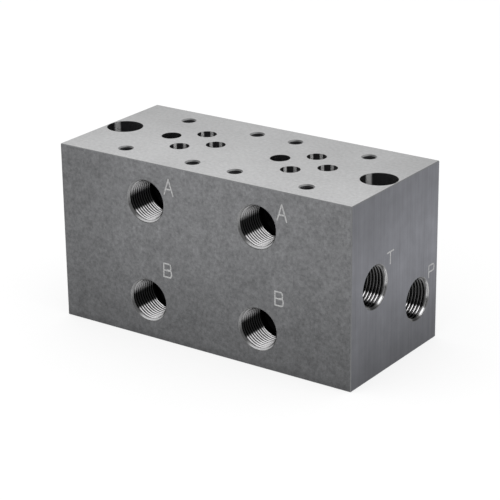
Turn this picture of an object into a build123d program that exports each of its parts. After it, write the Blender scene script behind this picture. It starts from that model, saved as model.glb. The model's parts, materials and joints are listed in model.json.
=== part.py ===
"""Two-station hydraulic manifold block for size 03 directional valves.

One block of ground steel carries two valves side by side on its top face. A pressure gallery and
a tank gallery run from end to end and open in a threaded port at both ends. Under each valve, two
slanted drillings reach the galleries, and two more bring the valve's working lines to a pair of
threaded ports in the front face. Two counterbored holes take the screws that hold the block down.
No two lines meet: where one passes another, a wall of at least two millimetres is left.

The origin is at the middle of the base. +X runs along the block, +Y from the front face to the
back face, and +Z up to the valve face. Everything is in millimetres.
"""

import os
from math import radians, tan

from build123d import *

# Block
length = 130.0
depth = 60.0
height = 70.0
edge_break = 0.3

# Valve stations: the standard size 03 interface, whose rows are measured from its front screws
station_pitch = 50.0
pattern_offset = 0.75  # the interface lies this far forward of the middle of the valve face
front_screw_span = 31.0
rear_screw_span = 32.5
screw_row_gap = 40.5
main_port_span = 20.8  # from the pressure port to the tank port
main_port_row = 21.5
a_port_row = 12.7
b_port_row = 30.2
valve_port_diameter = 7.5
valve_port_entry = 10.0  # how far ports B and T go straight down before their drilling slants
slanted_diameter = 7.0  # of the drilling below that bend

# Valve screws
screw_thread_diameter = 5.0
screw_thread_depth = 12.0
screw_tap_diameter = 4.2
screw_tap_depth = 15.0
screw_chamfer = 0.5

# Threaded ports, all of one size, which is the three-eighths pipe thread
thread_diameter = 16.66
thread_depth = 12.5
tap_diameter = 14.95
tap_depth = 15.5
port_chamfer = 0.2

# Working ports in the front face
a_port_drop = 15.5  # from the valve face down to the axis of the A ports
b_port_rise = 15.0  # from the base up to the axis of the B ports
branch_diameter = 9.0  # drilling behind a working port
branch_overrun = 3.0  # how far it runs past the drilling that it meets
b_meeting_setback = 30.0  # from the front face back to the foot of the slanted B drilling

# Galleries
gallery_diameter = 12.0
tank_gallery_setback = 16.0  # from the front face back to the gallery's axis
tank_gallery_rise = 35.0
pressure_gallery_setback = 46.0
pressure_gallery_rise = 20.0

# Mounting holes
mounting_margin = 7.5  # from an end face to the hole's axis
mounting_diameter = 8.5
counterbore_diameter = 14.0
counterbore_depth = 9.0

# Cutters
drill_point_angle = 118.0  # every blind drilling ends in the cone that its drill leaves
overcut = 1.0  # a cutter starts and ends this far outside the face that it goes through

point_length = 1 / tan(radians(drill_point_angle / 2))  # of a drill, for each unit of its radius
front = -depth / 2
front_screw_y = -pattern_offset - screw_row_gap / 2
left, right = (-1, 0, 0), (1, 0, 0)
forward, up = (0, -1, 0), (0, 0, 1)


def facing(x, y, z, outward):
    """The plane of a hole's mouth, with its normal pointing out of the hole."""
    return Plane(origin=(x, y, z), z_dir=outward)


def drill(mouth, *steps, flare=0.0, lead=overcut, blind=True):
    """Cut a round hole into the block, down from the plane of its mouth.

    Each step is a diameter and the depth that it reaches. A wide step ends in the cone of its own
    drill, down to the wall of the next step, and the last step of a blind hole ends in a full
    point. A flare is a 45 degree chamfer of that width around the mouth. The cutter starts at
    its lead outside the mouth.
    """
    radius = steps[0][0] / 2
    mouth_radius = radius + flare + lead if flare else radius
    outline = [(0, lead), (mouth_radius, lead)]
    if flare:
        outline.append((radius, -flare))
    for diameter, reach in steps:
        step_radius = diameter / 2
        if step_radius < radius:
            shoulder = outline[-1][1] - (radius - step_radius) * point_length
            outline.append((step_radius, shoulder))
            radius = step_radius
        outline.append((radius, -reach))
    tip = outline[-1][1] - radius * point_length if blind else outline[-1][1]
    outline.append((0, tip))
    with BuildSketch(Plane(origin=mouth.origin, x_dir=mouth.x_dir, z_dir=-mouth.y_dir)) as profile:
        with BuildLine():
            Polyline(*outline, close=True)
        make_face()
    revolve(profile.sketch, axis=Axis(mouth.origin, mouth.z_dir), mode=Mode.SUBTRACT)


def threaded_port(mouth, branch_reach=0.0):
    """Cut a threaded port, at the thread's full diameter, with a branch behind it if one is asked for."""
    steps = [(thread_diameter, thread_depth), (tap_diameter, tap_depth)]
    if branch_reach:
        steps.append((branch_diameter, branch_reach))
    drill(mouth, *steps, flare=port_chamfer)


def slanted_port(x, y, foot):
    """Cut a valve port that slants from the valve face itself to its foot in another drilling."""
    mouth = Vector(x, y, height)
    run = foot - mouth
    drill(Plane(origin=mouth, z_dir=-run), (valve_port_diameter, run.length), lead=valve_port_diameter)


def kneed_port(x, y, foot):
    """Cut a valve port that goes straight down at first, and then slants to its foot in another drilling."""
    drill(facing(x, y, height, up), (valve_port_diameter, valve_port_entry))
    knee = Vector(x, y, height - valve_port_entry + slanted_diameter / 2)
    run = foot - knee
    drill(Plane(origin=knee, z_dir=-run), (slanted_diameter, run.length), lead=0.0)


with BuildPart() as manifold_block:
    # The ground bar, with its edges broken
    Box(length, depth, height, align=(Align.CENTER, Align.CENTER, Align.MIN))
    chamfer(manifold_block.edges(), edge_break)

    # The two galleries, each with a threaded port at both ends
    tank_gallery = (front + tank_gallery_setback, tank_gallery_rise)
    pressure_gallery = (front + pressure_gallery_setback, pressure_gallery_rise)
    for y, z in (tank_gallery, pressure_gallery):
        drill(facing(-length / 2, y, z, left), (gallery_diameter, length + overcut), blind=False)
        threaded_port(facing(-length / 2, y, z, left))
        threaded_port(facing(length / 2, y, z, right))

    for station_x in (-station_pitch / 2, station_pitch / 2):
        # Line A drops straight onto the branch of the upper front port
        a_y = front_screw_y + a_port_row
        drill(facing(station_x, a_y, height, up), (valve_port_diameter, a_port_drop))
        a_mouth = facing(station_x, front, height - a_port_drop, forward)
        threaded_port(a_mouth, branch_reach=a_y - front + branch_overrun)

        # Line B slants forward, between the galleries, to the branch of the lower front port
        b_foot = Vector(station_x, front + b_meeting_setback, b_port_rise)
        kneed_port(station_x, front_screw_y + b_port_row, b_foot)
        b_mouth = facing(station_x, front, b_port_rise, forward)
        threaded_port(b_mouth, branch_reach=b_meeting_setback + branch_overrun)

        # The pressure port slants back and the tank port bends forward, each to its own gallery
        main_y = front_screw_y + main_port_row
        pressure_x = station_x - main_port_span / 2
        tank_x = station_x + main_port_span / 2
        slanted_port(pressure_x, main_y, Vector(pressure_x, *pressure_gallery))
        kneed_port(tank_x, main_y, Vector(tank_x, *tank_gallery))

        # The four valve screws stand in two rows, the rear row a little wider
        for row_y, span in (
            (front_screw_y, front_screw_span),
            (front_screw_y + screw_row_gap, rear_screw_span),
        ):
            for screw_x in (station_x - span / 2, station_x + span / 2):
                drill(
                    facing(screw_x, row_y, height, up),
                    (screw_thread_diameter, screw_thread_depth),
                    (screw_tap_diameter, screw_tap_depth),
                    flare=screw_chamfer,
                )

    # The mounting holes go through the block, close to its ends
    for mounting_x in (mounting_margin - length / 2, length / 2 - mounting_margin):
        with Locations((mounting_x, 0, height)):
            CounterBoreHole(mounting_diameter / 2, counterbore_diameter / 2, counterbore_depth, height)

manifold_block.part.label = "manifold_block"

os.makedirs("parts", exist_ok=True)
export_step(manifold_block.part, "parts/manifold_block.step")
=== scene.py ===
"""Looks of a two-station hydraulic manifold block: ground and milled steel, cut threads, stamped port
letters, and the studio that shows them. Lengths in properties and formulas are metres."""

import json
import math

import bmesh
import bpy
import numpy as np
from bpy.props import FloatProperty, FloatVectorProperty, PointerProperty
from mathutils import Matrix, Vector


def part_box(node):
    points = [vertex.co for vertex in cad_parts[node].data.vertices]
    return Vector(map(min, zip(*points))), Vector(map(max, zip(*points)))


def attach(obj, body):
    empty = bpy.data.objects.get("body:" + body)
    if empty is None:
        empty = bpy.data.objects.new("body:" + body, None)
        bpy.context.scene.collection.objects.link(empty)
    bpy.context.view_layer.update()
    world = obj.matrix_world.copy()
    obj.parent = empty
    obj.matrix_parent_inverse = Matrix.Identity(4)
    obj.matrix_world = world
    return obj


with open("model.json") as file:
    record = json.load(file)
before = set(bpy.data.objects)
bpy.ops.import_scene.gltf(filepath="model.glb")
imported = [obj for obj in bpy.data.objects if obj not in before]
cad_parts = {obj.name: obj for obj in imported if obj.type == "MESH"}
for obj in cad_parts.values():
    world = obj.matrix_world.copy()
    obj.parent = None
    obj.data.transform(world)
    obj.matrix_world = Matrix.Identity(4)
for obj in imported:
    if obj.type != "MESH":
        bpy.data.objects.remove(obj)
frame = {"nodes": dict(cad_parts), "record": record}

bl_info = {
    "name": "Hydraulic manifold block",
    "version": (1, 0, 0),
    "blender": (4, 5, 0),
    "location": "View3D > Sidebar > Manifold",
    "description": "Finishes a machined hydraulic manifold block: steel surfaces, threads and port letters",
    "category": "Object",
}

BLOCK = "manifold_block"
MM = 0.001
UP = (0.0, 0.0, 1.0)
BOX_LOW, BOX_HIGH = (np.array(corner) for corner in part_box(BLOCK))
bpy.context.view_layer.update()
MOUNTS = {mount["name"]: mount for mount in frame["record"]["mounts"]}

WELD = 1e-7                  # points of a piece that are closer than this are one

# Threads
LINER_WALL = 0.1 * MM        # how far the liner's outer side lies inside the steel
RUN_OUT = 0.4                # part of a turn over which the groove ends
PORT_GRID = (120, 12)        # points round a turn and across it
SCREW_GRID = (48, 10)

# Painted light on a port: how much painted highlight its thread gets and how bright its chamfer is painted:
# places, and the share at each. The places are drops, sides in the rows that end in RIGHT, and metres
# inside the root in CREST.
# Painted highlight: crests take more of it than roots, so roots read as painted shade
CREST = ((0, 0.5 * MM), (0.3, 1))
# Painted highlight at the foot of a front port's thread, and a weaker painted reflection at its head
FRONT_FOOT = ((0.62, 0.68), (0, 0.46))
FRONT_HEAD = ((-0.95, -0.3, -0.02), (0.34, 0.28, 0))
# Painted light and shade on a front port's chamfer, by where it faces
FRONT_RIM = ((-0.2, 0.3), (1.05, 0.3))
FRONT_RIM_FOOT = ((0.5, 0.7), (0, 1.1))
FRONT_RIM_RIGHT = ((-0.65, -0.4), (0, 1))
# Painted highlight band below the middle of an end port's thread
END_BAND = ((0.3, 0.6, 0.66, 0.72, 0.9, 0.96), (0.1, 0.03, 0.03, 1, 1, 0))
# Painted light and shade on an end port's chamfer, by where it faces
END_RIM = ((-0.7, -0.5, 0.15, 0.3, 0.66, 0.72, 0.9, 0.96), (0.7, 2.4, 2.4, 0.6, 0.6, 3.2, 3.2, 0.4))
END_RIM_RIGHT = ((0, 0.3), (0.25, 1))
RIM_FADE = 0.15 * MM         # depth over which a chamfer's brightness ends at the wall
RIM_LEAST = 0.05             # share from which a point counts as chamfer

# Letters
CAP_POINTS = 7               # points on the rounded end of a stroke
POINTS_PER_LEG = 4           # points along a stroke for each of its path's
LEAST_POINTS = 8
RIDGE = (-1, -1, -0.6, -0.2, 0.2, 0.6, 1, 1, -1)   # places across a stroke, in half widths
RIDGE_FEET = (0, -2, -1)     # those of them that are sunk into the steel
SINK = 0.05 * MM
BOWL_BULGE = 0.75            # half width of a bowl's ellipse over its half height
BOWL_POINTS = 12
# Middle of a letter, to the right of its port's axis and above it, in millimetres
LETTER_OFFSETS = {"a": (10.9, 7.5), "b": (9.5, 14.0), "t": (10.0, 8.0), "p": (9.7, 8.3)}
# Width and height of a letter over the common ones
LETTER_SHARES = {"a": (0.95, 1.0), "b": (0.85, 0.88), "t": (1.05, 0.76), "p": (0.9, 0.76)}

# Where a place on the block is, in millimetres under the nearest face
ON_FACE = 0.02
ON_EDGE = 0.31               # just over the 0.3 mm of a broken edge
ON_CHAMFER = 0.52            # just over the 0.5 mm of the widest chamfer
CHAMFER_LEAN = (0.3, 0.95)   # least and most of a chamfer's direction along the face's
WALL_LEAN = 0.3              # most of an upright wall's direction along the vertical

# Grains: waves in a millimetre, detail and roughness of their noise, after a stretch along x, y and z
GROUND_STRETCH, GROUND_GRAIN = (0.7, 0.8, 1.0), {"scale": 1.0, "detail": 5.0, "roughness": 0.7}
SAWN_STRETCH, SAWN_GRAIN = (0.9, 0.9, 0.03), {"scale": 1.0, "detail": 4.0}
MILLED_GRAIN = {"scale": 0.85, "detail": 5.0, "roughness": 0.72}
MOTTLE_GRAIN = {"scale": 0.2}
CLOUD_GRAIN = {"scale": 0.05, "detail": 2.0}
TOOL_GRAIN = {"scale": 3.0}
PUNCH_GRAIN = {"scale": 1.5}
NOISE_SPAN = (0.3, 0.7)      # where nearly all of a noise lies
# How far each of them takes a shade from 1
GROUND_SHARE, SAWN_SHARE, MILLED_SHARE, CLOUD_SHARE, TOOL_SHARE, PUNCH_SHARE = 0.14, 0.1, 0.3, 0.05, 0.15, 0.3
SIDE_MOTTLE_SHARE, END_MOTTLE_SHARE = 0.08, 0.05
BUMP = {"Strength": 0.15, "Distance": 0.02 * MM}
TOOL_MARK_PITCH = 60.0       # radians of a tool mark's wave in a millimetre
TOOL_MARK_LEAN = 0.8         # how far it turns a wall's direction up and down

# Painted light and shade on each kind of face, the sides darker towards the foot: an axis, two places
# along it in millimetres, and the share at each. A patch is a row that says where a painted shade counts,
# from 0 to 1, and the shade's row.
PAINTED_SHADES = {
    "top": (("y", -30.0, 30.0, 1.1, 0.91), ("x", -66.0, -50.0, 0.93, 1.0)),
    "side": (("z", -4.0, 56.0, 0.69, 1.08), ("z", 0.0, 4.0, 0.8, 1.0), ("x", 10.0, 60.0, 1.02, 0.95)),
    "end": (("z", -2.0, 40.0, 0.5, 1.06), ("y", -30.0, 5.0, 0.93, 1.03), ("y", 18.0, 28.0, 1.0, 1.05),
            ("z", 46.0, 68.0, 1.0, 0.84)),
}
PAINTED_PATCHES = {
    "top": ((("y", -10.0, 25.0, 0.0, 1.0), ("x", -60.0, -20.0, 0.94, 1.0)),
            (("y", -10.0, 25.0, 0.0, 1.0), ("x", 40.0, 65.0, 1.0, 0.89))),
    "side": ((("x", -65.0, -20.0, 1.0, 0.0), ("z", 5.0, 66.0, 0.97, 0.78)),),
    "end": ((("z", 2.0, 30.0, 1.0, 0.0), ("y", -30.0, -12.0, 1.24, 1.0)),),
}
# The same for a drilling's depth, where the drillings get painted shade, and for how far a direction or a
# drop goes
DEEP = (6.0, 8.0, 0.0, 1.0)
# Painted shade: deep inside, a drilling's colour is taken down to this share
DEEP_SHARE = 0.3
# Painted light and shade: a side or end chamfer lighter where it faces down, darker where it faces up
RIM_SHADE = (-0.1, 0.4, 1.2, 0.45)
# Painted light: a top-face chamfer lighter where it faces left or right
MOUTH_SHADE = (0.2, 0.6, 0.28, 0.58)
# Painted reflection and shade: a port's thread lighter towards the top of its hole, darker from the middle
# down
THREAD_SHADE = (-1.0, 0.0, 1.4, 0.2)
# Painted light: the small threads lighter where they face left or right
SCREW_SHADE = (0.3, 0.8, 1.0, 2.5)

# Painted highlight streaks in the upright drillings, where their walls would mirror a lamp: azimuth in
# degrees, how far from the block's middle they reach in millimetres, and strength
STREAKS = ((64.0, 70.0, 0.7), (64.0, 48.0, 1.0), (6.0, 48.0, 0.6))
STREAK_EDGE, STREAK_CORE = (math.cos(math.radians(angle)) for angle in (13, 5))
# Middle, in millimetres, of the valve ports whose drillings lean, and how far round it they reach
LEANING_PORTS, LEANING_REACH = ((-35.4, 0.5), (14.6, 0.5)), 5.0

ROUGHNESS = {"ground": 0.38, "milled": 0.45, "bore": 0.3, "deep": 0.65, "chamfer": 0.5,
             "thread": 0.25, "port_chamfer": 0.45, "screw": 0.3, "letter": 0.45}

# Studio
WHITE, BLACK = (1, 1, 1, 1), (0, 0, 0, 1)
FLOOR_HALF = 6.0
FLOOR_GREY = (0.3, 0.3, 0.3, 1)
FLOOR_GLOW = 0.72
PANEL_RADIANCE = 0.8
# Azimuth and elevation in degrees, distance, and width and height
PANELS = {
    "left_panel": ((-45, 28), 0.95, (1.1, 0.5)),
    "front_panel": ((14, 28), 0.95, (1.1, 0.5)),
    "right_panel": ((98, 26), 0.8, (0.5, 0.5)),
}
PANEL_AIM = (0, 0, 35 * MM)
SENSOR_WIDTH = 36.0
CLIP_START, CLIP_END = 0.01, 50.0


# ---------------------------------------------------------------- properties


class FinishProperties(bpy.types.PropertyGroup):
    """Colours of the steel; some hold painted light and shade, as noted beside them."""

    # The top is lighter and the sides and ends darker, partly from their finishes and partly as painted light
    # from above
    ground_color: FloatVectorProperty(
        name="Ground face", description="Colour of the surface-ground top face",
        subtype="COLOR", min=0, max=1, default=(0.447, 0.448, 0.451))
    milled_color: FloatVectorProperty(
        name="Milled faces", description="Colour of the milled front and back",
        subtype="COLOR", min=0, max=1, default=(0.171, 0.1725, 0.177))
    end_color: FloatVectorProperty(
        name="Sawn ends", description="Colour of the two end faces",
        subtype="COLOR", min=0, max=1, default=(0.178, 0.181, 0.199))
    # Near black as painted shade inside the drillings
    bore_color: FloatVectorProperty(
        name="Drillings", description="Colour of the drilled walls",
        subtype="COLOR", min=0, max=1, default=(0.018, 0.018, 0.019))
    # Painted highlight streaks where a drilling's wall would mirror a lamp
    bore_highlight_color: FloatVectorProperty(
        name="Bore sheen", description="Colour of the burnished streaks in a drilling",
        subtype="COLOR", min=0, max=1, default=(0.46, 0.46, 0.46))
    edge_color: FloatVectorProperty(
        name="Edges", description="Colour of the broken edges",
        subtype="COLOR", min=0, max=1, default=(0.19, 0.192, 0.195))
    rim_color: FloatVectorProperty(
        name="Chamfers", description="Colour of the chamfer round a hole",
        subtype="COLOR", min=0, max=1, default=(0.26, 0.26, 0.262))
    # Dark as painted shade inside the ports
    thread_color: FloatVectorProperty(
        name="Threads", description="Colour of the cut threads",
        subtype="COLOR", min=0, max=1, default=(0.07, 0.07, 0.071))
    # Painted highlight for the thread flanks that a lamp would light
    thread_highlight_color: FloatVectorProperty(
        name="Thread highlights", description="Colour of the part of a thread that the tap has rubbed bright",
        subtype="COLOR", min=0, max=1, default=(0.95, 0.94, 0.95))
    mark_color: FloatVectorProperty(
        name="Letters", description="Colour of the stamped port letters",
        subtype="COLOR", min=0, max=1, default=(0.4, 0.4, 0.4))


class ThreadProperties(bpy.types.PropertyGroup):
    """Sizes of the cut threads, whose holes come from the block."""

    port_pitch: FloatProperty(
        name="Port pitch", description="Pitch of the pipe thread in the ports",
        unit="LENGTH", default=1.337 * MM, precision=6)
    port_depth: FloatProperty(
        name="Port thread height", description="From the crest of the pipe thread to its root",
        unit="LENGTH", default=0.84 * MM, precision=6)
    port_chamfer: FloatProperty(
        name="Port chamfer", description="Width of the chamfer that the block has around a port",
        unit="LENGTH", default=0.2 * MM, precision=6)
    screw_pitch: FloatProperty(
        name="Screw pitch", description="Pitch of the thread in the valve screw holes",
        unit="LENGTH", default=0.8 * MM, precision=6)
    screw_depth: FloatProperty(
        name="Screw thread height", description="From the crest of the screw thread to its root",
        unit="LENGTH", default=0.42 * MM, precision=6)
    screw_length: FloatProperty(
        name="Screw thread length", description="How deep the screw thread goes",
        unit="LENGTH", default=12.0 * MM, precision=6)
    screw_chamfer: FloatProperty(
        name="Screw chamfer", description="Width of the chamfer that the block has around a screw hole",
        unit="LENGTH", default=0.5 * MM, precision=6)


class LetterProperties(bpy.types.PropertyGroup):
    """Size and place of the port letters."""

    height: FloatProperty(
        name="Letter height", description="Height of a port letter",
        unit="LENGTH", default=6.0 * MM, precision=6)
    width: FloatProperty(
        name="Letter width", description="Width of a port letter",
        unit="LENGTH", default=4.2 * MM, precision=6)
    stroke: FloatProperty(
        name="Stroke", description="Width of a stamped stroke",
        unit="LENGTH", default=0.6 * MM, precision=6)
    rise: FloatProperty(
        name="Burr height", description="How far the burr of a stroke stands out of the face",
        unit="LENGTH", default=0.03 * MM, precision=6)


class StudioProperties(bpy.types.PropertyGroup):
    """Camera and light."""

    azimuth: FloatProperty(
        name="Azimuth", description="Camera's direction round the block, from its front",
        subtype="ANGLE", default=math.radians(35.22))
    elevation: FloatProperty(
        name="Elevation", description="Camera's height above the horizon",
        subtype="ANGLE", default=math.radians(21.05))
    roll: FloatProperty(
        name="Roll", description="Camera's turn about its own axis",
        subtype="ANGLE", default=math.radians(-0.7))
    distance: FloatProperty(
        name="Distance", description="From the camera to the point that it looks at",
        unit="LENGTH", default=0.735)
    aim: FloatVectorProperty(
        name="Aim", description="The point that the camera looks at",
        subtype="TRANSLATION", default=(1.4 * MM, -0.7 * MM, 31.4 * MM))
    lens: FloatProperty(
        name="Lens", description="Focal length in millimetres", default=140.1)
    fill: FloatProperty(
        name="Fill", description="Strength of the light that comes from all round", default=0.9)


# ---------------------------------------------------------------- meshes


def surface_mesh(name, points, faces):
    """A smooth mesh object at the origin from an array of points and a list of faces. Points that
    coincide are merged, so seams and poles close, and the faces are turned to point outwards."""
    mesh = bpy.data.meshes.new(name)
    mesh.from_pydata(points.reshape(-1, 3), [], faces)
    work = bmesh.new()
    work.from_mesh(mesh)
    bmesh.ops.remove_doubles(work, verts=work.verts, dist=WELD)
    bmesh.ops.dissolve_degenerate(work, edges=work.edges, dist=WELD)
    bmesh.ops.recalc_face_normals(work, faces=work.faces)
    work.to_mesh(mesh)
    work.free()
    mesh.shade_smooth()
    piece = bpy.data.objects.new(name, mesh)
    bpy.context.collection.objects.link(piece)
    return piece


def grid_mesh(name, *grids):
    """A mesh object made of one or more grids of points, each with a quad between its neighbours."""
    faces, start = [], 0
    for grid in grids:
        rows, columns = grid.shape[:2]
        r, c = np.meshgrid(np.arange(rows - 1), np.arange(columns - 1), indexing="ij")
        first = start + r * columns + c
        quads = np.stack([first, first + 1, first + columns + 1, first + columns], -1)
        faces += quads.reshape(-1, 4).tolist()
        start += rows * columns
    return surface_mesh(name, np.concatenate([grid.reshape(-1, 3) for grid in grids]), faces)


def direction_at(azimuth, elevation):
    """The direction at an azimuth round the block, from its front, and an elevation, in degrees."""
    azimuth, elevation = math.radians(azimuth), math.radians(elevation)
    flat = math.cos(elevation)
    return Vector((math.sin(azimuth) * flat, -math.cos(azimuth) * flat, math.sin(elevation)))


def hand_over(piece, material):
    """Give a finished piece its material and put it on the block's only body."""
    piece.data.materials.append(material)
    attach(piece, "root")


def ring_round(axis, angle):
    """Unit vectors square to an axis, one for each angle."""
    other = np.array(UP) if abs(axis[2]) < 0.5 else np.array([1.0, 0, 0])
    u = np.cross(other, axis)
    u /= np.linalg.norm(u)
    return np.cos(angle)[:, None, None] * u + np.sin(angle)[:, None, None] * np.cross(axis, u)


def mouth_of(mount):
    """Where a hole's axis leaves the block through the face that it opens in, and the axis."""
    point, axis = np.array(mount["pos_m"], float), np.array(mount["axis"], float)
    side = int(np.argmax(np.abs(axis)))
    point[side] = (BOX_HIGH if axis[side] > 0 else BOX_LOW)[side]
    return point, axis


def thread_piece(name, mouth, axis, major, height, pitch, chamfer, length, grid):
    """A liner whose inner side is a cut thread, from the foot of the hole's chamfer to the length.

    The inner side is a strip that is carried along a helix. At angle a and depth s its radius is the
    crest's radius, plus the thread's height times half of one minus the cosine of the turn
    (s / pitch - a / full circle). The strip is one pitch wide, so each turn's edge lies on the next
    one's. Depths are held between the liner's ends. Near the mouth the radius is at least that of a
    45 degree cone that carries on from the chamfer, and over the last part of a turn the groove runs
    out to the crest's radius. The outer side is a cylinder inside the steel.
    """
    around, along = grid
    turns = int(np.ceil((length - chamfer) / pitch)) + 1
    steps = np.arange((turns + 1) * around + 1)
    angle = 2 * np.pi * steps / around
    across = np.linspace(0, 1, along + 1)
    depth = chamfer + pitch * (steps[:, None] / around - 1 + across[None, :])
    depth = np.clip(depth, chamfer, length)
    turn = depth / pitch - angle[:, None] / (2 * np.pi)
    crest = major - height
    fade = np.clip((length - depth) / (RUN_OUT * pitch), 0, 1)
    radius = crest + height * fade * (0.5 - 0.5 * np.cos(2 * np.pi * turn))
    radius = np.clip(np.maximum(radius, major + chamfer - depth), crest, major)
    inner = mouth + radius[..., None] * ring_round(axis, angle) - depth[..., None] * axis

    ring = ring_round(axis, 2 * np.pi * np.arange(around + 1) / around)
    radii = np.array([major, major + LINER_WALL, major + LINER_WALL, crest])[None, :, None]
    depths = np.array([chamfer, chamfer, length, length])[None, :, None]
    outer = mouth + radii * ring - depths * axis
    return grid_mesh(name, inner, outer)


def paint_thread_light(mesh, mouth, axis, major, cone):
    """Store on a port's thread how much painted highlight it gets, how bright its chamfer is painted, and how
    far down the hole's wall its points are.

    A point's drop is how far down its direction from the hole's axis goes, from -1 at the top of the
    hole to 1 at its bottom, and its side is how far right it goes, seen from outside. In a port in the
    front face, the bottom gets a painted highlight where a lamp would light it, and the top a weaker
    painted reflection. In one at an end, a band below the middle gets a painted highlight. Crests get more
    of it than roots, so roots read as painted shade. The chamfer's painted light and shade follow from the
    drop and the side, and end at the cone's depth.
    """
    points = np.empty(len(mesh.vertices) * 3)
    mesh.vertices.foreach_get("co", points)
    away = points.reshape(-1, 3) - mouth
    depth = -(away @ axis)
    away += depth[:, None] * axis
    radius = np.maximum(np.linalg.norm(away, axis=1), 1e-9)
    away /= radius[:, None]
    drop, side = -away[:, 2], away @ np.cross(UP, axis)
    crest = np.interp(major - radius, *CREST)
    in_front = abs(axis[1]) > 0.5
    if in_front:
        bright = np.maximum(np.interp(drop, *FRONT_FOOT) * crest, np.interp(drop, *FRONT_HEAD))
        rim = np.interp(drop, *FRONT_RIM)
        rim += np.interp(drop, *FRONT_RIM_FOOT) * np.interp(side, *FRONT_RIM_RIGHT)
    else:
        bright = np.interp(drop, *END_BAND) * crest
        rim = np.interp(drop, *END_RIM) * np.interp(side, *END_RIM_RIGHT)
    rim *= np.interp(depth, (cone - RIM_FADE, cone), (1, 0))
    for name, values in (("bright", bright), ("rim", rim), ("drop", drop)):
        layer = mesh.attributes.new(name, "FLOAT", "POINT")
        layer.data.foreach_set("value", values.astype(np.float32))


def stroke_points(path, out, width, rise):
    """Points of a stamped stroke: a low rounded ridge carried along a path.

    Across the stroke, the ridge's height is its rise times one minus the square of the distance from
    the middle over half the width. Past both ends of the path, the half width shrinks as a half
    circle does, so the stroke closes to a point. The ridge's feet are sunk into the steel.
    """
    leg = np.linalg.norm(np.diff(path, axis=0), axis=1)
    reach = np.concatenate([[0], np.cumsum(leg)])
    half = width / 2
    cap = half * (1 - np.cos(np.linspace(0, np.pi / 2, CAP_POINTS)))
    inside = np.linspace(0, reach[-1], max(len(path) * POINTS_PER_LEG, LEAST_POINTS))
    stations = np.concatenate([cap - half, inside[1:-1], reach[-1] + half - cap[::-1]])
    held = np.clip(stations, 0, reach[-1])
    centre = np.stack([np.interp(held, reach, path[:, k]) for k in range(3)], -1)
    step = np.gradient(centre, axis=0)
    step /= np.maximum(np.linalg.norm(step, axis=1, keepdims=True), 1e-12)
    step[:CAP_POINTS], step[-CAP_POINTS:] = step[CAP_POINTS + 1], step[-CAP_POINTS - 2]
    centre = centre + (stations - held)[:, None] * step
    share = np.sqrt(np.clip(1 - ((stations - held) / half)**2, 0, 1))
    side = np.cross(step, out)
    side /= np.linalg.norm(side, axis=1, keepdims=True)
    across = np.array(RIDGE)
    lift = rise * (1 - across**2)
    lift[list(RIDGE_FEET)] = -SINK
    points = centre[:, None] + half * share[:, None, None] * across[None, :, None] * side[:, None]
    return points + (lift[None, :] * share[:, None])[..., None] * out


def bow(x0, x1, y0, y1):
    """A letter's bowl: out along its top, round half an ellipse, and back along its foot."""
    turn = np.linspace(np.pi / 2, -np.pi / 2, BOWL_POINTS)
    reach = (y1 - y0) / 2
    bulge = reach * BOWL_BULGE
    arc = [(x1 - bulge + bulge * math.cos(t), (y0 + y1) / 2 + reach * math.sin(t)) for t in turn]
    return [(x0, y1), *arc, (x0, y0)]


# A letter's strokes in a unit square
GLYPHS = {
    "A": [[(0.0, 0.0), (0.5, 1.0)], [(0.5, 1.0), (1.0, 0.0)], [(0.2, 0.36), (0.8, 0.36)]],
    "B": [[(0.0, 0.0), (0.0, 1.0)], bow(0.0, 0.92, 0.5, 1.0), bow(0.5, 1.0, 0.0, 0.54) + [(0.0, 0.0)]],
    "P": [[(0.0, 0.0), (0.0, 1.0)], bow(0.0, 1.0, 0.45, 1.0)],
    "T": [[(0.0, 1.0), (1.0, 1.0)], [(0.5, 0.0), (0.5, 1.0)]],
}


def letter_piece(name, glyph, centre, right, out, sizes, shares):
    """A stamped letter on a face, its strokes laid out about its middle."""
    up = np.cross(out, right)
    extent = (sizes.width * shares[0], sizes.height * shares[1])
    grids = []
    for stroke in GLYPHS[glyph]:
        flat = (np.array(stroke) - 0.5) * extent
        path = centre + flat[:, :1] * right + flat[:, 1:] * up
        grids.append(stroke_points(path, out, sizes.stroke, sizes.rise))
    return grid_mesh(name, *grids)


# ---------------------------------------------------------------- materials


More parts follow.
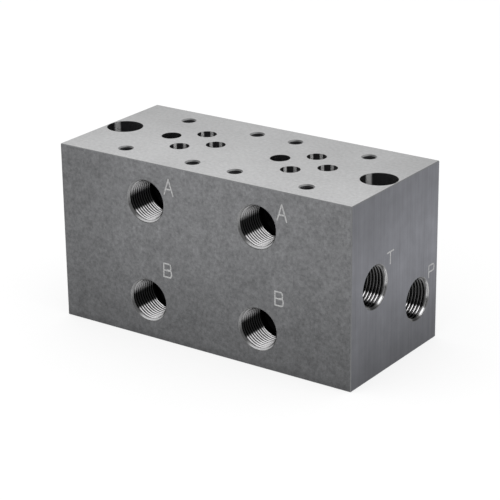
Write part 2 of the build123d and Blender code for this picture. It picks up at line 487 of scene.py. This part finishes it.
class Recipe:
    """The node tree of a material or a world, written as one call for each node."""

    def __init__(self, owner):
        self.owner = owner
        owner.use_nodes = True
        self.tree = owner.node_tree
        self.tree.nodes.clear()

    def node(self, kind, inputs=None, **settings):
        """Add a node, apply its settings, and set or link its inputs by name or number."""
        made = self.tree.nodes.new(kind)
        for key, value in settings.items():
            setattr(made, key, value)
        for key, value in (inputs or {}).items():
            if isinstance(value, bpy.types.NodeSocket):
                self.tree.links.new(value, made.inputs[key])
            else:
                made.inputs[key].default_value = value
        return made

    def math(self, operation, *values):
        """The result of a math node."""
        return self.node("ShaderNodeMath", dict(enumerate(values)), operation=operation).outputs[0]

    def times(self, first, second):
        """One number times another."""
        return self.math("MULTIPLY", first, second)

    def largest(self, first, *others):
        """The largest of several numbers."""
        for other in others:
            first = self.math("MAXIMUM", first, other)
        return first

    def vector(self, operation, *values):
        """The vector that a vector math node gives."""
        return self.node("ShaderNodeVectorMath", dict(enumerate(values)), operation=operation).outputs[0]

    def measure(self, operation, *values):
        """The number that a vector math node gives."""
        return self.node("ShaderNodeVectorMath", dict(enumerate(values)), operation=operation).outputs[1]

    def split(self, vector):
        """The three parts of a vector."""
        return self.node("ShaderNodeSeparateXYZ", {0: vector}).outputs[:3]

    def join(self, x, y, z):
        """A vector from three parts."""
        return self.node("ShaderNodeCombineXYZ", {0: x, 1: y, 2: z}).outputs[0]

    def place(self):
        """The point on the object, in millimetres."""
        where = self.node("ShaderNodeTexCoord").outputs["Object"]
        return self.vector("MULTIPLY", where, (1 / MM, 1 / MM, 1 / MM))

    def direction(self):
        """The direction that the surface faces."""
        return self.node("ShaderNodeNewGeometry").outputs["Normal"]

    def noise(self, vector, scale, detail=3.0, roughness=0.55):
        """Noise about 0.5 along a vector."""
        inputs = {"Vector": vector, "Scale": scale, "Detail": detail, "Roughness": roughness}
        return self.node("ShaderNodeTexNoise", inputs).outputs["Fac"]

    def spread(self, value, share):
        """A noise brought to lie about 1, up to a share away from it."""
        inputs = {0: value, 1: NOISE_SPAN[0], 2: NOISE_SPAN[1], 3: 1 - share, 4: 1 + share}
        return self.node("ShaderNodeMapRange", inputs, clamp=True).outputs[0]

    def ramp(self, value, low, high, first, second):
        """A number that eases from the first to the second while a value goes from low to high."""
        inputs = {0: value, 1: low, 2: high, 3: first, 4: second}
        return self.node("ShaderNodeMapRange", inputs, interpolation_type="SMOOTHSTEP").outputs[0]

    def blend(self, share, first, second):
        """A colour between two colours."""
        inputs = {"Factor": share, 6: first, 7: second}
        return self.node("ShaderNodeMix", inputs, data_type="RGBA").outputs[2]

    def mix(self, share, first, second):
        """A number between two numbers."""
        inputs = {"Factor": share, 2: first, 3: second}
        return self.node("ShaderNodeMix", inputs, data_type="FLOAT").outputs[0]

    def tint(self, color, share):
        """A colour times a number."""
        inputs = {"Factor": 1.0, 6: color, 7: self.join(share, share, share)}
        return self.node("ShaderNodeMix", inputs, data_type="RGBA", blend_type="MULTIPLY").outputs[2]

    def seen(self):
        """1 for rays that look at a surface, straight, in a reflection or through glass, otherwise 0."""
        rays = self.node("ShaderNodeLightPath").outputs
        return self.largest(rays["Is Camera Ray"], rays["Is Glossy Ray"], rays["Is Transmission Ray"])

    def finish(self, color, roughness, **inputs):
        """The steel's shader and the material's output."""
        inputs = {"Base Color": color, "Roughness": roughness, "Metallic": 1.0, **inputs}
        shader = self.node("ShaderNodeBsdfPrincipled", inputs)
        self.node("ShaderNodeOutputMaterial", {"Surface": shader.outputs[0]})
        return self.owner


def opaque(color):
    """A colour with full opacity."""
    return (*color, 1.0)


def block_zones(steel, axes, leans):
    """Which part of the block a place is on, each as 1 or 0, and how far it is under the top or above
    the base.

    A place is on a face where it is less than a hair under it. It is on an edge where it is a little
    under two faces at once, and on a hole's chamfer where it is a little under one and leans.
    """
    high, low = BOX_HIGH / MM, BOX_LOW / MM
    under = {
        "end": steel.math("SUBTRACT", high[0], steel.math("ABSOLUTE", axes["x"])),
        "side": steel.math("SUBTRACT", high[1], steel.math("ABSOLUTE", axes["y"])),
        "top": steel.math("MINIMUM", steel.math("SUBTRACT", high[2], axes["z"]),
                          steel.math("SUBTRACT", axes["z"], low[2])),
    }
    zones = {face: steel.math("LESS_THAN", gap, ON_FACE) for face, gap in under.items()}
    zones["outside"] = steel.largest(*zones.values())
    zones["inside"] = steel.math("SUBTRACT", 1.0, zones["outside"])
    near = [steel.math("LESS_THAN", gap, ON_EDGE) for gap in under.values()]
    count = steel.math("ADD", near[0], steel.math("ADD", near[1], near[2]))
    zones["edge"] = steel.times(steel.math("GREATER_THAN", count, 1.5), zones["inside"])    # two or three
    least, most = CHAMFER_LEAN
    for (face, gap), lean in zip(under.items(), leans):
        slanted = steel.times(steel.math("GREATER_THAN", lean, least), steel.math("LESS_THAN", lean, most))
        close = steel.times(steel.math("LESS_THAN", gap, ON_CHAMFER), zones["inside"])
        zones[f"{face}_chamfer"] = steel.times(slanted, close)
    zones["side_chamfer"] = steel.largest(zones["end_chamfer"], zones["side_chamfer"])
    return zones, under["top"]


def face_color(steel, axes, face, color, grains):
    """A face's colour under its grains, and under its painted shades and patches of painted light and shade.
    """
    color = opaque(color)
    for grain, share in grains:
        color = steel.tint(color, steel.spread(grain, share))
    for axis, *row in PAINTED_SHADES[face]:
        color = steel.tint(color, steel.ramp(axes[axis], *row))
    for (where, *reach), (axis, *row) in PAINTED_PATCHES[face]:
        counts = steel.ramp(axes[where], *reach)
        color = steel.tint(color, steel.mix(counts, 1.0, steel.ramp(axes[axis], *row)))
    return color


def paint_bore_highlights(steel, axes, surface):
    """How strongly the drillings' walls carry painted highlight streaks, from 0 to 1: upright streaks, each
    where the wall's direction is within a few degrees of the streak's, where it would mirror a lamp. The
    leaning drillings have none."""
    share = 0.0
    for azimuth, reach, strength in STREAKS:
        toward = steel.measure("DOT_PRODUCT", surface, direction_at(azimuth, 0.0))
        streak = steel.ramp(toward, STREAK_EDGE, STREAK_CORE, 0.0, strength)
        within = steel.math("LESS_THAN", steel.math("ABSOLUTE", axes["x"]), reach)
        share = steel.largest(share, steel.times(streak, within))
    for centre in LEANING_PORTS:
        off = steel.measure("DISTANCE", steel.join(axes["x"], axes["y"], 0.0), (*centre, 0.0))
        share = steel.times(share, steel.math("GREATER_THAN", off, LEANING_REACH))
    return share


def block_steel(finish):
    """The block's steel: a ground top and base, milled sides, sawn ends, broken edges and drillings
    with tool marks round their walls. Painted light and shade runs over the faces, the sides darker towards
    the foot; the drillings are painted near black as shade, with painted highlight streaks, and the chamfers
    are painted lighter and darker by where they face."""
    steel = Recipe(bpy.data.materials.new("block_steel"))
    place, surface = steel.place(), steel.direction()
    axes = dict(zip("xyz", steel.split(place)))
    parts = steel.split(surface)
    leans = [steel.math("ABSOLUTE", part) for part in parts]
    zones, below = block_zones(steel, axes, leans)

    ground = steel.noise(steel.vector("MULTIPLY", place, GROUND_STRETCH), **GROUND_GRAIN)
    sawn = steel.noise(steel.vector("MULTIPLY", place, SAWN_STRETCH), **SAWN_GRAIN)
    milled = steel.noise(place, **MILLED_GRAIN)
    mottle = steel.noise(place, **MOTTLE_GRAIN)
    top = face_color(steel, axes, "top", finish.ground_color, ((ground, GROUND_SHARE),))
    side = face_color(steel, axes, "side", finish.milled_color,
                      ((milled, MILLED_SHARE), (mottle, SIDE_MOTTLE_SHARE)))
    end = face_color(steel, axes, "end", finish.end_color,
                     ((sawn, SAWN_SHARE), (mottle, END_MOTTLE_SHARE)))

    # Painted highlight streaks on the drillings' walls
    sheen = paint_bore_highlights(steel, axes, surface)
    deep = steel.ramp(below, *DEEP)
    bore = steel.blend(sheen, opaque(finish.bore_color), opaque(finish.bore_highlight_color))
    # Painted shade: the drillings darker still deep inside the block
    bore = steel.tint(bore, steel.mix(deep, 1.0, DEEP_SHARE))
    # Painted light and shade on the side and end chamfers, by where they face
    rim = steel.tint(opaque(finish.rim_color), steel.ramp(parts[2], *RIM_SHADE))
    # Painted light on the top-face chamfers, by where they face
    mouth = steel.tint(opaque(finish.ground_color), steel.ramp(leans[0], *MOUTH_SHADE))

    color = steel.blend(zones["outside"], bore, side)
    color = steel.blend(zones["end"], color, end)
    color = steel.blend(zones["top"], color, top)
    color = steel.tint(color, steel.spread(steel.noise(place, **CLOUD_GRAIN), CLOUD_SHARE))
    color = steel.blend(zones["side_chamfer"], color, rim)
    color = steel.blend(zones["top_chamfer"], color, mouth)
    color = steel.blend(zones["edge"], color, opaque(finish.edge_color))

    rough = steel.mix(deep, ROUGHNESS["bore"], ROUGHNESS["deep"])
    rough = steel.mix(zones["outside"], rough, ROUGHNESS["milled"])
    rough = steel.mix(zones["top"], rough, ROUGHNESS["ground"])
    broken = steel.largest(zones["edge"], zones["side_chamfer"], zones["top_chamfer"])
    rough = steel.mix(broken, rough, ROUGHNESS["chamfer"])

    relief = steel.mix(zones["side"], steel.mix(zones["end"], ground, sawn), milled)
    bump = steel.node("ShaderNodeBump", {"Height": relief, **BUMP}).outputs[0]
    wave = steel.times(steel.math("SINE", steel.times(axes["z"], TOOL_MARK_PITCH)), TOOL_MARK_LEAN)
    on_wall = steel.times(zones["inside"], steel.math("LESS_THAN", leans[2], WALL_LEAN))
    marks = steel.join(0.0, 0.0, steel.times(wave, on_wall))
    normal = steel.vector("NORMALIZE", steel.vector("ADD", bump, marks))
    return steel.finish(color, rough, Normal=normal)


def thread_steel(finish):
    """Steel of a freshly cut thread, with painted light and shade: dark as painted shade below the middle, a
    painted reflection above it, a painted highlight where a lamp would light it, and a chamfer at its mouth
    painted lighter and darker by where it faces. Reads what paint_thread_light has stored."""
    steel = Recipe(bpy.data.materials.new("thread_steel"))
    bright, rim, drop = (steel.node("ShaderNodeAttribute", attribute_name=name).outputs["Fac"]
                         for name in ("bright", "rim", "drop"))
    on_rim = steel.math("GREATER_THAN", rim, RIM_LEAST)
    # Painted reflection towards the top of the hole, painted shade from the middle down
    color = steel.tint(opaque(finish.thread_color), steel.ramp(drop, *THREAD_SHADE))
    # Painted highlight where a lamp would light the thread
    color = steel.blend(bright, color, opaque(finish.thread_highlight_color))
    # Chamfer painted lighter and darker by where it faces
    color = steel.blend(on_rim, color, steel.tint(opaque(finish.rim_color), rim))
    color = steel.tint(color, steel.spread(steel.noise(steel.place(), **TOOL_GRAIN), TOOL_SHARE))
    return steel.finish(color, steel.mix(on_rim, ROUGHNESS["thread"], ROUGHNESS["port_chamfer"]))


def screw_steel(finish):
    """Steel of the small threads, dark as painted shade in the holes, and a little lighter where they face
    left or right as painted light.
    """
    steel = Recipe(bpy.data.materials.new("screw_steel"))
    lean = steel.math("ABSOLUTE", steel.split(steel.direction())[0])
    marks = steel.noise(steel.place(), **TOOL_GRAIN)
    color = steel.tint(opaque(finish.bore_color), steel.spread(marks, TOOL_SHARE))
    color = steel.tint(color, steel.ramp(lean, *SCREW_SHADE))
    return steel.finish(color, ROUGHNESS["screw"])


def mark_steel(finish):
    """Steel turned up by a letter punch."""
    steel = Recipe(bpy.data.materials.new("mark_steel"))
    marks = steel.noise(steel.place(), **PUNCH_GRAIN)
    color = steel.tint(opaque(finish.mark_color), steel.spread(marks, PUNCH_SHARE))
    return steel.finish(color, ROUGHNESS["letter"])


def floor_white():
    """A white floor that still takes the block's shadow: part of it glows for what sees it directly."""
    white = Recipe(bpy.data.materials.new("floor_white"))
    diffuse = white.node("ShaderNodeBsdfDiffuse", {"Color": FLOOR_GREY})
    glow = white.node("ShaderNodeEmission", {"Color": WHITE, "Strength": FLOOR_GLOW})
    dark = white.node("ShaderNodeEmission", {"Color": BLACK, "Strength": 0.0})
    extra = white.node("ShaderNodeMixShader", {0: white.seen(), 1: dark.outputs[0], 2: glow.outputs[0]})
    both = white.node("ShaderNodeAddShader", {0: diffuse.outputs[0], 1: extra.outputs[0]})
    white.node("ShaderNodeOutputMaterial", {"Surface": both.outputs[0]})
    return white.owner


def studio_world(fill):
    """A world that is white where it is seen, and lights the block with a softer fill."""
    world = Recipe(bpy.data.worlds.new("studio"))
    inputs = {"Color": WHITE, "Strength": world.mix(world.seen(), fill, 1.0)}
    background = world.node("ShaderNodeBackground", inputs)
    world.node("ShaderNodeOutputWorld", {"Surface": background.outputs[0]})
    return world.owner


# ---------------------------------------------------------------- operators


def settings():
    """The scene's manifold settings."""
    return bpy.context.scene.manifold


def threaded_ports():
    """The name, mouth, axis and sizes of each threaded port."""
    for name, mount in MOUNTS.items():
        if mount["kind"] == "threaded_hole":
            yield name, *mouth_of(mount), mount["dims"]


class MANIFOLD_OT_block(bpy.types.Operator):
    """Give the block its steel"""

    bl_idname = "manifold.block"
    bl_label = "Finish the block"

    def execute(self, context):
        block = frame["nodes"][BLOCK]
        block.data.materials.clear()
        block.data.materials.append(block_steel(settings().finish))
        return {"FINISHED"}


class MANIFOLD_OT_port_threads(bpy.types.Operator):
    """Cut the pipe thread in each port"""

    bl_idname = "manifold.port_threads"
    bl_label = "Cut port threads"

    def execute(self, context):
        sizes = settings().thread
        material = thread_steel(settings().finish)
        for name, mouth, axis, dims in threaded_ports():
            radius = dims["r_mm"] * MM
            piece = thread_piece(f"thread_{name}", mouth, axis, radius, sizes.port_depth, sizes.port_pitch,
                                 sizes.port_chamfer, sizes.port_chamfer + dims["length_mm"] * MM, PORT_GRID)
            paint_thread_light(piece.data, mouth, axis, radius, sizes.port_chamfer + sizes.port_depth)
            hand_over(piece, material)
        return {"FINISHED"}


class MANIFOLD_OT_screw_threads(bpy.types.Operator):
    """Cut the thread in each valve screw hole"""

    bl_idname = "manifold.screw_threads"
    bl_label = "Cut screw threads"

    def execute(self, context):
        sizes = settings().thread
        material = screw_steel(settings().finish)
        for name, mount in MOUNTS.items():
            if mount["kind"] != "bolt_pattern":
                continue
            mouth, axis = mouth_of(mount)
            radius, span = (mount["dims"][key] * MM for key in ("hole_r_mm", "spacing_x_mm"))
            for side, place in (("left", -span / 2), ("right", span / 2)):
                piece = thread_piece(f"thread_{name}_{side}", mouth + (place, 0, 0), axis, radius,
                                     sizes.screw_depth, sizes.screw_pitch, sizes.screw_chamfer,
                                     sizes.screw_length, SCREW_GRID)
                hand_over(piece, material)
        return {"FINISHED"}


class MANIFOLD_OT_letters(bpy.types.Operator):
    """Stamp a letter beside each port"""

    bl_idname = "manifold.letters"
    bl_label = "Stamp port letters"

    def execute(self, context):
        material = mark_steel(settings().finish)
        for name, mouth, axis, _ in threaded_ports():
            line = name.split("_")[1]
            right = np.cross(UP, axis)
            across, up = LETTER_OFFSETS[line]
            centre = mouth + right * across * MM + np.array([0, 0, up * MM])
            piece = letter_piece(f"letter_{name}", line.upper(), centre, right, axis,
                                 settings().letters, LETTER_SHARES[line])
            hand_over(piece, material)
        return {"FINISHED"}


class MANIFOLD_OT_stage(bpy.types.Operator):
    """Set the floor, the light and the camera"""

    bl_idname = "manifold.stage"
    bl_label = "Set the studio"

    def execute(self, context):
        studio = settings().studio
        self.lay_floor(context)
        context.scene.world = studio_world(studio.fill)
        for name, (direction, distance, size) in PANELS.items():
            self.softbox(context, name, direction, distance, size)
        self.set_camera(context, studio)
        return {"FINISHED"}

    def lay_floor(self, context):
        """A plain square floor under the block."""
        corners = FLOOR_HALF * np.array([(-1, -1, 0), (1, -1, 0), (-1, 1, 0), (1, 1, 0)], float)
        mesh = bpy.data.meshes.new("floor")
        mesh.from_pydata(corners, [], [(0, 1, 3, 2)])
        mesh.materials.append(floor_white())
        floor = bpy.data.objects.new("floor", mesh)
        context.collection.objects.link(floor)

    def softbox(self, context, name, direction, distance, size):
        """A flat lamp that faces the block from an azimuth and an elevation, with an even brightness."""
        back = direction_at(*direction)
        lamp = bpy.data.lights.new(name, "AREA")
        lamp.shape = "RECTANGLE"
        lamp.size, lamp.size_y = size
        lamp.energy = PANEL_RADIANCE * math.pi * size[0] * size[1]
        holder = bpy.data.objects.new(name, lamp)
        context.collection.objects.link(holder)
        holder.location = Vector(PANEL_AIM) + back * distance
        holder.rotation_euler = (-back).to_track_quat("-Z", "Y").to_euler()
        holder.visible_camera = False

    def set_camera(self, context, studio):
        """A long lens that looks at the block from its front right, a little from above."""
        back = direction_at(math.degrees(studio.azimuth), math.degrees(studio.elevation))
        camera = bpy.data.cameras.new("camera")
        camera.lens = studio.lens
        camera.sensor_width = SENSOR_WIDTH
        camera.clip_start, camera.clip_end = CLIP_START, CLIP_END
        holder = bpy.data.objects.new("camera", camera)
        context.collection.objects.link(holder)
        turn = (-back).to_track_quat("-Z", "Y").to_matrix() @ Matrix.Rotation(studio.roll, 3, "Z")
        holder.matrix_world = Matrix.Translation(Vector(studio.aim) + back * studio.distance) @ turn.to_4x4()
        context.scene.camera = holder
        context.scene.view_settings.view_transform = "Standard"


class ManifoldProperties(bpy.types.PropertyGroup):
    """Everything that a user would change."""

    finish: PointerProperty(type=FinishProperties, name="Finish", description="Steel colours")
    thread: PointerProperty(type=ThreadProperties, name="Threads", description="Thread sizes")
    letters: PointerProperty(type=LetterProperties, name="Letters", description="Port letter sizes")
    studio: PointerProperty(type=StudioProperties, name="Studio", description="Camera and light")


STEPS = (MANIFOLD_OT_block, MANIFOLD_OT_port_threads, MANIFOLD_OT_screw_threads, MANIFOLD_OT_letters,
         MANIFOLD_OT_stage)


class MANIFOLD_PT_panel(bpy.types.Panel):
    """Lists the manifold's properties and steps"""

    bl_idname = "MANIFOLD_PT_panel"
    bl_label = "Manifold"
    bl_space_type = "VIEW_3D"
    bl_region_type = "UI"
    bl_category = "Manifold"

    def draw(self, context):
        for group in ("finish", "thread", "letters", "studio"):
            box = self.layout.box()
            values = getattr(context.scene.manifold, group)
            for key in values.__annotations__:
                box.prop(values, key)
        for step in STEPS:
            self.layout.operator(step.bl_idname)


CLASSES = (FinishProperties, ThreadProperties, LetterProperties, StudioProperties, ManifoldProperties,
           *STEPS, MANIFOLD_PT_panel)


def register():
    """Register the classes and the scene's settings."""
    for item in CLASSES:
        bpy.utils.register_class(item)
    bpy.types.Scene.manifold = PointerProperty(type=ManifoldProperties)


def unregister():
    """Undo register."""
    del bpy.types.Scene.manifold
    for item in reversed(CLASSES):
        bpy.utils.unregister_class(item)


def main():
    """Run every step in order."""
    register()
    bpy.ops.manifold.block()
    bpy.ops.manifold.port_threads()
    bpy.ops.manifold.screw_threads()
    bpy.ops.manifold.letters()
    bpy.ops.manifold.stage()


if __name__ == "__main__":
    main()
